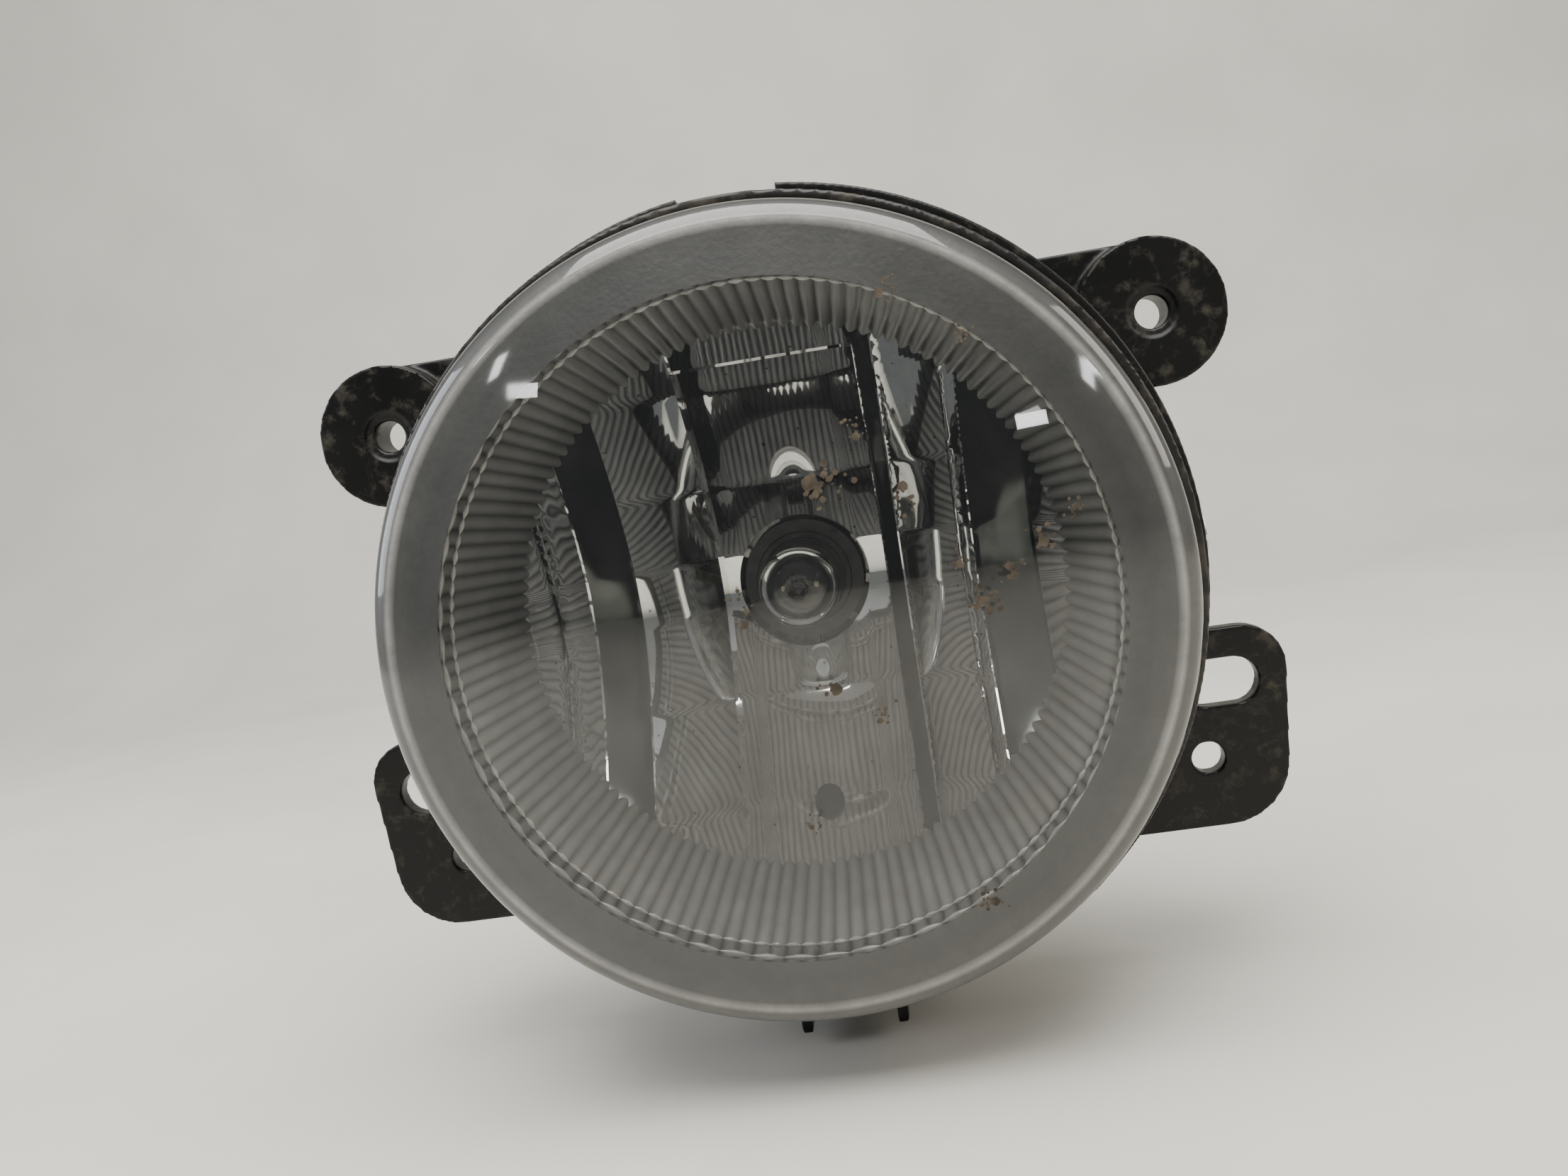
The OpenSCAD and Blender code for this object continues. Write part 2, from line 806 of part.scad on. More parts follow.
module bulb_o_ring() {
  color("#8c3a2b")
    translate([0, groove_y + groove_w / 2, 0])
      rotate([-90, 0, 0])
        rotate_extrude($fn = 96)
          translate([groove_r + o_ring_r, 0])
            circle(r = o_ring_r, $fn = 32);
}

mounting_frame();
pivot_bush_left();
pivot_bush_right();
adjuster_bush();
adjuster_screw();
adjuster_knob();
adjuster_push_nut();
adjuster_nut();
housing();
lens();
lens_sealant();
reflector();
reflector_screws();
pivot_pin_left();
pivot_pin_right();
bayonet_ring();
vent_elbow();
bulb_base();
bulb_o_ring();
bulb_glass();
bulb_filament();
bulb_wires();
bulb_terminals();
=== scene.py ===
import math
import random

import bmesh
import bpy
from mathutils import Matrix, Vector, noise


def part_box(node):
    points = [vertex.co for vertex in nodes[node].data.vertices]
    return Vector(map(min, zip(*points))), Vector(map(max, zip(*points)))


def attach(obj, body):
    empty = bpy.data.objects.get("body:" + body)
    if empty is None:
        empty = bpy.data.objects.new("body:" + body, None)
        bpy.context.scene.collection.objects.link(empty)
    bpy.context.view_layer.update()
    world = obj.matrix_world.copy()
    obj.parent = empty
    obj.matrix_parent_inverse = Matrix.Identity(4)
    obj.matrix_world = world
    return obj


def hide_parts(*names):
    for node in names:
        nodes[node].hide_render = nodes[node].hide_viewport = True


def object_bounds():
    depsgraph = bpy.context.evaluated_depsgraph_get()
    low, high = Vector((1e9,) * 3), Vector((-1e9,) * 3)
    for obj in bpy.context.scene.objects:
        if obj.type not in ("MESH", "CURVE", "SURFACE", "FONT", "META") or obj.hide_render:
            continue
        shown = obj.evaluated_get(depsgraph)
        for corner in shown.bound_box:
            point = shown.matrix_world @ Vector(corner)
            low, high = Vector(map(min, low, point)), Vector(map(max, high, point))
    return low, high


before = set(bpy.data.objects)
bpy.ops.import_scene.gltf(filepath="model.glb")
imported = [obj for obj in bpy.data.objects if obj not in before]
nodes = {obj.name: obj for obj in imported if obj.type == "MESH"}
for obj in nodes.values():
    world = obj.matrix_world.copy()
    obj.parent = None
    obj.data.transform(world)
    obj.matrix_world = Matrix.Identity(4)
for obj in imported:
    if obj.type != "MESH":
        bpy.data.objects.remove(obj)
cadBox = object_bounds()
mm = 0.001
print("fog light: frame loaded,", len(nodes), "parts")


# Small helpers

def hexToLinear(code):
    parts = [int(code[i:i + 2], 16) / 255 for i in (1, 3, 5)]
    return [p / 12.92 if p <= 0.04045 else ((p + 0.055) / 1.055) ** 2.4 for p in parts] + [1.0]


def addNode(tree, kind, settings=None, values=None, links=None):
    node = tree.nodes.new(kind)
    for name, value in (settings or {}).items():
        setattr(node, name, value)
    for name, value in (values or {}).items():
        node.inputs[name].default_value = value
    for name, source in (links or {}).items():
        tree.links.new(source, node.inputs[name])
    return node


def ramp(tree, source, stops):
    # stops are (position, colour as hex or a grey from 0 to 1)
    node = addNode(tree, "ShaderNodeValToRGB", links={"Fac": source})
    band = node.color_ramp
    while len(band.elements) < len(stops):
        band.elements.new(0.5)
    for element, (place, tone) in zip(band.elements, stops):
        element.position = place
        element.color = hexToLinear(tone) if isinstance(tone, str) else (tone, tone, tone, 1)
    return node.outputs["Color"]


def noiseAt(tree, place, spotMm, detail, **values):
    values = {"Scale": 1000 / spotMm, "Detail": detail} | values
    return addNode(tree, "ShaderNodeTexNoise", values=values, links={"Vector": place}).outputs["Fac"]


def multiplied(tree, first, second):
    return addNode(tree, "ShaderNodeMix", settings={"data_type": "RGBA", "blend_type": "MULTIPLY"},
                   values={"Factor": 1.0}, links={"A": first, "B": second}).outputs["Result"]


def newMaterial(name, values):
    material = bpy.data.materials.new(name)
    material.use_nodes = True
    tree = material.node_tree
    shader = tree.nodes["Principled BSDF"]
    for socket, value in values.items():
        shader.inputs[socket].default_value = value
    place = addNode(tree, "ShaderNodeTexCoord").outputs["Object"]
    return material, tree, shader, place


def boxInMm(node):
    low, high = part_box(node)
    return Vector(low) / mm, Vector(high) / mm


def meshPiece(name, points, faces, smoothDegrees=30):
    # points are in millimetres; doubled points at poles and seams are joined
    mesh = bpy.data.meshes.new(name)
    mesh.from_pydata([Vector(p) * mm for p in points], [], faces)
    work = bmesh.new()
    work.from_mesh(mesh)
    bmesh.ops.remove_doubles(work, verts=work.verts, dist=1e-6)
    bmesh.ops.recalc_face_normals(work, faces=work.faces)
    work.to_mesh(mesh)
    work.free()
    return shadedPiece(name, mesh, smoothDegrees)


def shadedPiece(name, mesh, smoothDegrees):
    mesh.shade_smooth()
    mesh.set_sharp_from_angle(angle=math.radians(smoothDegrees))
    piece = bpy.data.objects.new(name, mesh)
    bpy.context.scene.collection.objects.link(piece)
    return piece


def placePiece(piece, body, materials, replaced=(), pick=None):
    for material in materials:
        piece.data.materials.append(material)
    if pick:
        for face in piece.data.polygons:
            face.material_index = pick(face.center / mm)
    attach(piece, body)
    if replaced:
        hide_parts(*replaced)


def turned(profileAt, steps, closed=True, axis=(0, 0)):
    # Turns a profile of [radius, y] points about the optical axis, or about a line beside it;
    # the profile may change with the angle, which is what cuts flutes, grips and threads
    points, faces = [], []
    count = len(profileAt(0))
    for step in range(steps):
        angle = 2 * math.pi * step / steps
        for radius, y in profileAt(angle):
            points.append((axis[0] + radius * math.sin(angle), y, axis[1] + radius * math.cos(angle)))
    last = count if closed else count - 1
    for step in range(steps):
        here, there = step * count, (step + 1) % steps * count
        for i in range(last):
            j = (i + 1) % count
            faces.append((here + i, here + j, there + j, there + i))
    return points, faces


# Surfaces

def grainedMaterial(look):
    # Two tones drift into each other in patches, fine grain roughens the light,
    # and an optional layer of dust or wear lies over them in broken spots
    values = {"Metallic": look.get("metallic", 0.0)}
    values.update(look.get("sockets", {}))
    material, tree, shader, place = newMaterial(look["name"], values)
    patches = noiseAt(tree, place, look["patchMm"], 5.0)
    tone = ramp(tree, patches, [(0.32, look["dark"]), (0.68, look["light"])])
    colour = tone
    grain = noiseAt(tree, place, look["grainMm"], 3.0)
    rough = addNode(tree, "ShaderNodeMapRange",
                    values={"To Min": look["rough"][0], "To Max": look["rough"][1]},
                    links={"Value": patches})
    roughness = rough.outputs["Result"]
    if "dust" in look:
        spots = noiseAt(tree, place, look["dustMm"], 8.0, Roughness=0.68)
        cover = ramp(tree, spots, [(look["dustFrom"], 0.0), (look["dustFrom"] + 0.16, look["dustMost"])])
        mixed = addNode(tree, "ShaderNodeMix", settings={"data_type": "RGBA"},
                        values={"B": hexToLinear(look["dust"])},
                        links={"Factor": cover, "A": colour})
        colour = mixed.outputs["Result"]
        dulled = addNode(tree, "ShaderNodeMix", values={3: 0.85},
                         links={"Factor": cover, 2: roughness})
        roughness = dulled.outputs[0]
    if "scratchMm" in look:
        lines = noiseAt(tree, place, look["scratchMm"], 3.0, Distortion=1.4)
        thin = ramp(tree, lines, [(0.575, 0.0), (0.59, look["scratchMost"]), (0.605, 0.0)])
        scratched = addNode(tree, "ShaderNodeMix", settings={"data_type": "RGBA"},
                            values={"B": hexToLinear(look["scratch"])},
                            links={"Factor": thin, "A": colour})
        colour = scratched.outputs["Result"]
    bump = addNode(tree, "ShaderNodeBump",
                   values={"Strength": look.get("bump", 0.3), "Distance": look["grainMm"] * 0.12 * mm},
                   links={"Height": grain})
    tree.links.new(colour, shader.inputs["Base Color"])
    tree.links.new(roughness, shader.inputs["Roughness"])
    tree.links.new(bump.outputs["Normal"], shader.inputs["Normal"])
    return material


def pressedGlass():
    # Pressed soda-lime glass, clear and fire-polished: a sharp reflection, a faint grey tint
    # and the slow ripple that a mould leaves, with a little road haze on top
    material, tree, shader, place = newMaterial("pressedGlass", {"Transmission Weight": 1.0, "IOR": 1.5})
    haze = noiseAt(tree, place, 6.0, 6.0, Roughness=0.6)
    rough = ramp(tree, haze, [(0.45, 0.004), (0.75, 0.05)])
    tint = ramp(tree, haze, [(0.3, "#fafaf9"), (0.75, "#e9e8e4")])
    ripple = noiseAt(tree, place, 14.0, 1.0)
    bump = addNode(tree, "ShaderNodeBump", values={"Strength": 0.15, "Distance": 0.05 * mm},
                   links={"Height": ripple})
    tree.links.new(rough, shader.inputs["Roughness"])
    tree.links.new(tint, shader.inputs["Base Color"])
    tree.links.new(bump.outputs["Normal"], shader.inputs["Normal"])
    return material


def stippledGlass(lensRadius):
    # The same glass where the mould was sand-blasted: it scatters light and looks grey and satin,
    # under a smooth outer skin; the bright line along the shoulder is partly a real reflection in that skin
    # and partly a painted highlight ring in the colour, which is also darker towards the rim
    material, tree, shader, place = newMaterial("stippledGlass", {
        "IOR": 1.5, "Transmission Weight": 0.25,
        "Coat Weight": 1.0, "Coat Roughness": 0.05, "Coat IOR": 1.5})
    axes = addNode(tree, "ShaderNodeSeparateXYZ", links={"Vector": place})
    flat = addNode(tree, "ShaderNodeCombineXYZ", links={"X": axes.outputs["X"], "Y": axes.outputs["Z"]})
    radius = addNode(tree, "ShaderNodeVectorMath", settings={"operation": "LENGTH"},
                     links={0: flat.outputs["Vector"]})
    share = addNode(tree, "ShaderNodeMapRange",
                    values={"From Min": (lensRadius - 10) * mm, "From Max": lensRadius * mm},
                    links={"Value": radius.outputs["Value"]})
    # radial bands: the bright stop near the shoulder is a painted highlight ring, the last stops darken
    # towards the rim
    bandsWithPaintedHighlight = ramp(tree, share.outputs["Result"], [
        (0.0, "#353533"), (0.35, "#30302e"), (0.64, "#40403d"), (0.74, "#a09f9b"), (0.8, "#4c4b46"),
        (0.88, "#2b2a27"), (0.96, "#1b1915")])
    grain = noiseAt(tree, place, 0.7, 3.0)
    drift = noiseAt(tree, place, 7.0, 9.0, Roughness=0.75)
    spots = ramp(tree, drift, [(0.36, 0.62), (0.64, 1.0)])
    colour = multiplied(tree, bandsWithPaintedHighlight, spots)
    rough = addNode(tree, "ShaderNodeMapRange", values={"To Min": 0.38, "To Max": 0.6},
                    links={"Value": grain})
    bump = addNode(tree, "ShaderNodeBump", values={"Strength": 0.5, "Distance": 0.09 * mm},
                   links={"Height": grain})
    tree.links.new(colour, shader.inputs["Base Color"])
    tree.links.new(rough.outputs["Result"], shader.inputs["Roughness"])
    tree.links.new(bump.outputs["Normal"], shader.inputs["Normal"])
    return material


def flutedGlass(fluteCount, mouthY, endY):
    # Ribbed glass of the skirt: satin grey ribs with a soft sheen and painted shade in the darker valleys
    # between them, and painted light that makes the colour lighter at the mouth and darker deeper in, for
    # the light the face lets in
    material, tree, shader, place = newMaterial("flutedGlass", {
        "IOR": 1.5, "Transmission Weight": 0.18, "Coat Weight": 0.35, "Coat Roughness": 0.2})
    axes = addNode(tree, "ShaderNodeSeparateXYZ", links={"Vector": place})
    turn = addNode(tree, "ShaderNodeMath", settings={"operation": "ARCTAN2"},
                   links={0: axes.outputs["X"], 1: axes.outputs["Z"]})
    phase = addNode(tree, "ShaderNodeMath", settings={"operation": "MULTIPLY"},
                    values={1: fluteCount / 2}, links={0: turn.outputs["Value"]})
    wave = addNode(tree, "ShaderNodeMath", settings={"operation": "SINE"},
                   links={0: phase.outputs["Value"]})
    crest = addNode(tree, "ShaderNodeMath", settings={"operation": "ABSOLUTE"},
                    links={0: wave.outputs["Value"]})
    # painted shade: valleys darker than crests
    ribsWithPaintedValleyShade = ramp(tree, crest.outputs["Value"], [(0.1, "#7c7c7a"), (0.5, "#a3a29f"), (0.95, "#c5c4c2")])
    cloud = noiseAt(tree, place, 5.0, 4.0)
    dirt = ramp(tree, cloud, [(0.3, 0.8), (0.65, 1.0)])
    # painted light and shade: lighter at the mouth, darker deep in the skirt
    paintedDepthShade = addNode(tree, "ShaderNodeMapRange",
                    values={"From Min": mouthY * mm, "From Max": endY * mm, "To Min": 1.0, "To Max": 0.42},
                    links={"Value": axes.outputs["Y"]})
    dirtAndPaintedShade = multiplied(tree, dirt, paintedDepthShade.outputs["Result"])
    colour = multiplied(tree, ribsWithPaintedValleyShade, dirtAndPaintedShade)
    rough = addNode(tree, "ShaderNodeMapRange", values={"To Min": 0.34, "To Max": 0.5},
                    links={"Value": cloud})
    tree.links.new(colour, shader.inputs["Base Color"])
    tree.links.new(rough.outputs["Result"], shader.inputs["Roughness"])
    return material


def aluminisedMirror(name, dull, bright, shine):
    # Plastic lacquered and vacuum-coated with aluminium: a true mirror that has gone faintly
    # cloudy, with pin-prick blemishes
    material, tree, shader, place = newMaterial(name, {"Metallic": 1.0})
    cloud = noiseAt(tree, place, 9.0, 7.0, Roughness=0.62)
    tone = ramp(tree, cloud, [(0.35, dull), (0.65, bright)])
    rough = ramp(tree, cloud, [(0.35, shine), (0.72, shine * 4)])
    pits = addNode(tree, "ShaderNodeTexVoronoi", values={"Scale": 1000 / 3.2}, links={"Vector": place})
    spots = ramp(tree, pits.outputs["Distance"], [(0.04, 0.35), (0.09, 1.0)])
    colour = multiplied(tree, tone, spots)
    tree.links.new(colour, shader.inputs["Base Color"])
    tree.links.new(rough, shader.inputs["Roughness"])
    return material


def quartzGlass():
    # Drawn quartz tube: water-clear, with faint draw lines around it
    material, tree, shader, place = newMaterial("quartzGlass", {"Transmission Weight": 1.0, "IOR": 1.46})
    lines = addNode(tree, "ShaderNodeTexWave", settings={"bands_direction": "Y"},
                    values={"Scale": 1000 / 7.0, "Distortion": 1.0}, links={"Vector": place})
    rough = addNode(tree, "ShaderNodeMapRange", values={"To Min": 0.0, "To Max": 0.03},
                    links={"Value": lines.outputs["Fac"]})
    tint = ramp(tree, lines.outputs["Fac"], [(0.0, "#eef1f0"), (1.0, "#ffffff")])
    tree.links.new(rough.outputs["Result"], shader.inputs["Roughness"])
    tree.links.new(tint, shader.inputs["Base Color"])
    return material


# Camera first: the lens is about 160 mm from the glass, turned 9 degrees

view = {"place": (15.8, -185.24, 20.72), "yaw": 5.29, "pitch": 5.95, "roll": -9.03, "lens": 30.47}


def makeCamera():
    yaw, pitch, roll = (math.radians(view[k]) for k in ("yaw", "pitch", "roll"))
    ahead = Vector((-math.sin(yaw) * math.cos(pitch), math.cos(yaw) * math.cos(pitch), -math.sin(pitch)))
    level = Vector((math.cos(yaw), math.sin(yaw), 0))
    upright = level.cross(ahead)
    right = math.cos(roll) * level + math.sin(roll) * upright
    up = right.cross(ahead)
    data = bpy.data.cameras.new("camera")
    data.lens = view["lens"]
    data.sensor_width = 36
    data.clip_start = 0.005
    data.clip_end = 20
    camera = bpy.data.objects.new("camera", data)
    turn = Matrix((right, up, -ahead)).transposed()
    camera.matrix_world = Matrix.Translation(Vector(view["place"]) * mm) @ turn.to_4x4()
    bpy.context.scene.collection.objects.link(camera)
    bpy.context.scene.camera = camera


makeCamera()
print("camera placed")


# Lens: crowned face, stippled shoulder, deep fluted skirt

lensLook = {"shoulderMm": 3.5, "crownMm": 5.5, "wallMm": 3.5, "footMm": 3.2, "mouthInMm": 7.0,
            "flutes": 130, "fluteDeepMm": 0.42, "skirtWallMm": 2.4, "clearTo": 40.8,
            "rimBackMm": 8.0, "skirtInsetMm": 4.6, "taperMm": 5.3}


def lensProfile():
    low, high = boxInMm("lens")
    radius, frontY, endY = high.x, low.y, high.y
    glassY = frontY + lensLook["crownMm"] + lensLook["shoulderMm"]
    chord = radius - lensLook["shoulderMm"]
    crown = lensLook["crownMm"]
    sphere = (chord * chord + crown * crown) / (2 * crown)

    def domeY(r):
        return frontY + sphere - math.sqrt(sphere * sphere - r * r)

    points = [[chord * i / 16, domeY(chord * i / 16), 0] for i in range(17)]
    for i in range(1, 11):
        angle = math.radians(9 * i)
        points.append([chord + lensLook["shoulderMm"] * math.sin(angle),
                       glassY - lensLook["shoulderMm"] * math.cos(angle), 0])
    foot = radius - lensLook["footMm"]
    mouth = radius - lensLook["mouthInMm"]
    mouthY = glassY + 2
    skirtOut = radius - lensLook["skirtInsetMm"]
    endIn = mouth - lensLook["taperMm"]
    rimY = glassY + lensLook["rimBackMm"]
    points += [[radius, rimY - 0.4, 0], [radius - 0.4, rimY, 0], [foot, rimY, 0],
               [foot, mouthY + 3.4, 0], [foot - 0.4, mouthY + 3, 0], [skirtOut, mouthY + 3, 0],
               [endIn + lensLook["skirtWallMm"], endY, 0]]
    deep = lensLook["fluteDeepMm"]
    for i in range(13):
        share = i / 12
        ripple = deep * (1 + 1.1 * max(0, 1 - share * 3))
        points.append([endIn + (mouth - endIn) * share, endY + (mouthY + 0.8 - endY) * share, ripple])
    points += [[mouth - 0.15, mouthY + 0.1, deep * 0.5], [mouth - 0.6, mouthY - 0.5, deep * 0.2]]
    points += [[(mouth - 1.4) * i / 10, domeY((mouth - 1.4) * i / 10) + lensLook["wallMm"], 0]
               for i in range(10, -1, -1)]
    return points


def makeLens():
    profile = lensProfile()

    def profileAt(angle):
        ridge = abs(math.sin(lensLook["flutes"] * angle / 2))
        return [(r - ripple * ridge, y) for r, y, ripple in profile]

    points, faces = turned(profileAt, lensLook["flutes"] * 6)
    piece = meshPiece("lensGlass", points, faces, 60)
    low, high = boxInMm("lens")
    front = low.y + lensLook["wallMm"] + lensLook["crownMm"] - 0.6

    def pick(centre):
        radius = math.hypot(centre.x, centre.z)
        if centre.y > front and radius < high.x - 5:
            return 2
        return 1 if radius > lensLook["clearTo"] else 0

    glasses = [pressedGlass(), stippledGlass(high.x), flutedGlass(lensLook["flutes"], front, high.y)]
    placePiece(piece, "lamp", glasses, ["lens"], pick)


beadLook = {"chains": [("lensBeads", 41.75, 10.4, 0.42, 65), ("innerBeads", 40.95, 12.4, 0.34, 130)],
            "waist": 0.03}


def makeBeads():
    # The front ends of the flutes run out in two chains of beads around the mouth of the skirt
    # Glass given a near-white colour: the tiny bright dots are painted glints
    paintedGlint = grainedMaterial({"name": "paintedGlintGlass", "dark": "#b9bab5", "light": "#f4f4ef",
                                "patchMm": 3.0, "grainMm": 0.8, "rough": (0.05, 0.16), "bump": 0.05,
                                "sockets": {"Coat Weight": 1.0, "Coat Roughness": 0.03}})
    front = boxInMm("lens")[0].y
    for name, radius, back, size, count in beadLook["chains"]:

        def profileAt(angle):
            ridge = abs(math.sin(count * angle / 2))
            reach = beadLook["waist"] + size * ridge
            return [(radius + reach * math.cos(t), front + back + reach * math.sin(t))
                    for t in (math.pi * k / 4 for k in range(8))]

        points, faces = turned(profileAt, lensLook["flutes"] * 6)
        placePiece(meshPiece(name, points, faces, 80), "lamp", [paintedGlint])


makeLens()
makeBeads()
print("lens made")


# Dried mud splashes on the glass

splashes = [  # x, z, spread and number of flecks, in millimetres
    (8, 16, 2.2, 30), (22, 5, 1.3, 16), (24, 0, 1.8, 26), (1, -23, 1.2, 12), (19, 37, 1.6, 14),
    (26, 30, 1.5, 12), (20, -36, 1.6, 18), (11, -11, 1.4, 10), (-3, 4, 1.6, 10), (12, 22, 1.4, 10),
    (28, 3, 1.5, 18), (32, 6, 1.6, 16), (36, 9, 1.4, 12), (5, -7, 1.6, 8), (17, 13, 1.6, 10)]


def makeSplashes():
    draw = random.Random(11)
    low, high = boxInMm("lens")
    chord, crown = high.x - lensLook["shoulderMm"], lensLook["crownMm"]
    sphere = (chord * chord + crown * crown) / (2 * crown)
    points, faces = [], []
    for x, z, spread, count in splashes:
        for fleck in range(count):
            cx, cz = x + draw.gauss(0, spread * 0.5), z + draw.gauss(0, spread * 0.5)
            size = draw.uniform(0.08, 0.2) * spread * (2.4 if fleck == 0 else 1)
            start = len(points)
            ring = [(cx, cz, 0.05)]
            for k in range(9):
                reach = size * draw.uniform(0.8, 1.15)
                ring.append((cx + reach * math.cos(k * 0.698), cz + reach * math.sin(k * 0.698), 0.004))
            for px, pz, lift in ring:
                surface = low.y + sphere - math.sqrt(sphere * sphere - px * px - pz * pz)
                points.append((px, surface - lift, pz))
            faces += [(start, start + 1 + k, start + 1 + (k + 1) % 9) for k in range(9)]
    piece = meshPiece("driedMud", points, faces, 60)
    # Dried road mud: matt, grey-brown, crumbly
    mud = grainedMaterial({"name": "driedMud", "dark": "#2a241b", "light": "#51473a", "patchMm": 1.4,
                           "grainMm": 0.3, "rough": (0.85, 0.98), "bump": 0.6})
    placePiece(piece, "lamp", [mud])


makeSplashes()
print("mud splashes made")


# Reflector: upright facets stepped beside each other, each drawn from the same parabola

reflectorLook = {"vertexY": 24.0, "depthMm": 28.2, "reachMm": 44.6, "holeMm": 10.2, "edgeMm": 0.12,
                 "shelfZ": 33.2, "shelfUp": 1.3, "waveMm": 0.012, "breatherZ": -31.0, "breatherR": 2.2,
                 "paintedDarkReflection": [(-31.0, -24.6), (13.0, 15.4), (26.2, 34.4)]}
# from x, to x, how far the facet stands forward at each end, and its own bulge, in millimetres
facets = [
    (-44.6, -35.0, 26.4, 17.3, 0.10), (-35.0, -31.0, 17.1, 13.4, 0.05), (-31.0, -24.6, 13.9, 9.7, 0.05),
    (-24.6, -12.6, 10.2, 2.0, 0.20), (-12.6, 13.0, 0.0, 0.0, 0.55), (13.0, 15.5, 0.4, 2.9, 0.0),
    (15.5, 24.2, 2.9, 8.5, 0.12), (24.2, 26.2, 8.3, 9.9, 0.03), (26.2, 34.4, 9.9, 14.0, 0.08),
    (34.4, 44.6, 16.3, 25.4, 0.10)]


def facetForward(x):
    edge = reflectorLook["edgeMm"]
    for start, end, first, last, bulge in facets:
        if start + edge <= x <= end - edge or (x <= start + edge and start == facets[0][0]) \
                or (x >= end - edge and end == facets[-1][1]):
            share = (x - start) / (end - start)
            return first + (last - first) * share + bulge * 4 * share * (1 - share)
    left = [f for f in facets if abs(x - f[1]) <= edge + 1e-6][0]
    right = [f for f in facets if abs(x - f[0]) <= edge + 1e-6][0]
    share = (x - (left[1] - edge)) / (2 * edge)
    return left[3] + (right[2] - left[3]) * share


# away from the bulb each facet leans forward: from this height to that, by how much
leans = [(-3, -16, 3.2), (-16, -30, 1.7), (5, 16, 2.7), (16, 30, 1.5)]


def lean(z):
    return sum(reach * min(1, max(0, (z - start) / (end - start))) for start, end, reach in leans)


def mirrorY(x, z):
    look = reflectorLook
    share = min(1, max(0.35, 1.25 - abs(x) / 36))
    y = look["vertexY"] - look["depthMm"] * (z / 44.69) ** 2 - facetForward(x) - share * lean(z)
    if facets[4][0] < x < facets[4][1]:
        y -= look["shelfUp"] * min(1, max(0, (z - look["shelfZ"]) / 0.3))
    return y + look["waveMm"] * noise.noise(Vector((x * 0.22, z * 0.16, 3.1)))


def makeReflector():
    look = reflectorLook
    rings, steps = 58, 288
    work = bmesh.new()
    grid = []
    for ring in range(rings + 1):
        radius = look["holeMm"] + (look["reachMm"] - look["holeMm"]) * ring / rings
        grid.append([work.verts.new((radius * math.sin(2 * math.pi * k / steps), 0,
                                     radius * math.cos(2 * math.pi * k / steps))) for k in range(steps)])
    for ring in range(rings):
        for k in range(steps):
            j = (k + 1) % steps
            work.faces.new((grid[ring][k], grid[ring][j], grid[ring + 1][j], grid[ring + 1][k]))
    breather = Vector((0, 0, look["breatherZ"]))
    gone = [f for f in work.faces if (f.calc_center_median() - breather).length < look["breatherR"] + 0.2]
    bmesh.ops.delete(work, geom=gone, context="FACES")
    # the ragged edge that this leaves is drawn onto the hole's circle
    rim = [v for v in work.verts if v.is_boundary and (v.co - breather).length < look["breatherR"] + 1.5]
    for vert in rim:
        vert.co = breather + look["breatherR"] * (vert.co - breather).normalized()
    bmesh.ops.remove_doubles(work, verts=rim, dist=0.05)
    cuts = [(Vector((x + side * look["edgeMm"], 0, 0)), Vector((1, 0, 0)))
            for x in (f[0] for f in facets[1:]) for side in (-1, 1)]
    cuts += [(Vector((0, 0, look["shelfZ"] + up)), Vector((0, 0, 1))) for up in (0, 0.3)]
    for place, normal in cuts:
        everything = work.verts[:] + work.edges[:] + work.faces[:]
        bmesh.ops.bisect_plane(work, geom=everything, plane_co=place, plane_no=normal, dist=1e-5)
    holes = [e for e in work.edges if e.is_boundary
             and (e.verts[0].co.length < look["holeMm"] + 0.1
                  or (e.verts[0].co - breather).length < look["breatherR"] + 0.1)]
    for vert in work.verts:
        vert.co.y = mirrorY(vert.co.x, vert.co.z)
    # the walls of the two holes run back behind the mirror
    walls = bmesh.ops.extrude_edge_only(work, edges=holes)["geom"]
    for vert in (g for g in walls if isinstance(g, bmesh.types.BMVert)):
        vert.co.y += 2.6
    paintedShadowDisc = [g for g in walls if isinstance(g, bmesh.types.BMEdge) and g.is_boundary
                and math.dist(g.verts[0].co.xz, breather.xz) < look["breatherR"] + 0.1]
    bmesh.ops.contextual_create(work, geom=paintedShadowDisc)
    bmesh.ops.scale(work, vec=(mm, mm, mm), verts=work.verts)
    bmesh.ops.recalc_face_normals(work, faces=work.faces)
    mesh = bpy.data.meshes.new("reflectorMirror")
    work.to_mesh(mesh)
    work.free()
    piece = shadedPiece("reflectorMirror", mesh, 9)

    def pick(centre):
        away = math.hypot(centre.x, centre.z - look["breatherZ"])
        # the hole walls and the closing disc get the near-black painted shadow
        if away < look["breatherR"] + 0.02 and centre.y > mirrorY(centre.x, centre.z) + 0.4:
            return 2
        # facets inside these ranges carry the painted dark reflection
        return 1 if any(start < centre.x < end for start, end in look["paintedDarkReflection"]) else 0

    # Near-black, dull disc closing the hole behind the mirror: a painted shadow for the darkness down the
    # vent
    paintedShadowDisc = grainedMaterial({"name": "ventPaintedShadow", "dark": "#0d0e0e", "light": "#191a1a",
                                "patchMm": 1.5, "grainMm": 0.4, "rough": (0.8, 0.95)})
    bright = aluminisedMirror("aluminisedMirror", "#dcddde", "#ececeb", 0.012)
    # these facets are painted dark and mottled: a painted dark reflection
    paintedDarkReflection = aluminisedMirror("paintedDarkReflectionMirror", "#202322", "#5a5d5b", 0.03)
    placePiece(piece, "lamp", [bright, paintedDarkReflection, paintedShadowDisc], ["reflector"], pick)


shellLook = {"vertexY": 28.2, "depthMm": 29.0, "neckR": 12.2, "lip": [11.8, 25.2], "wallMm": 1.5,
             "innerEndY": -4.0}


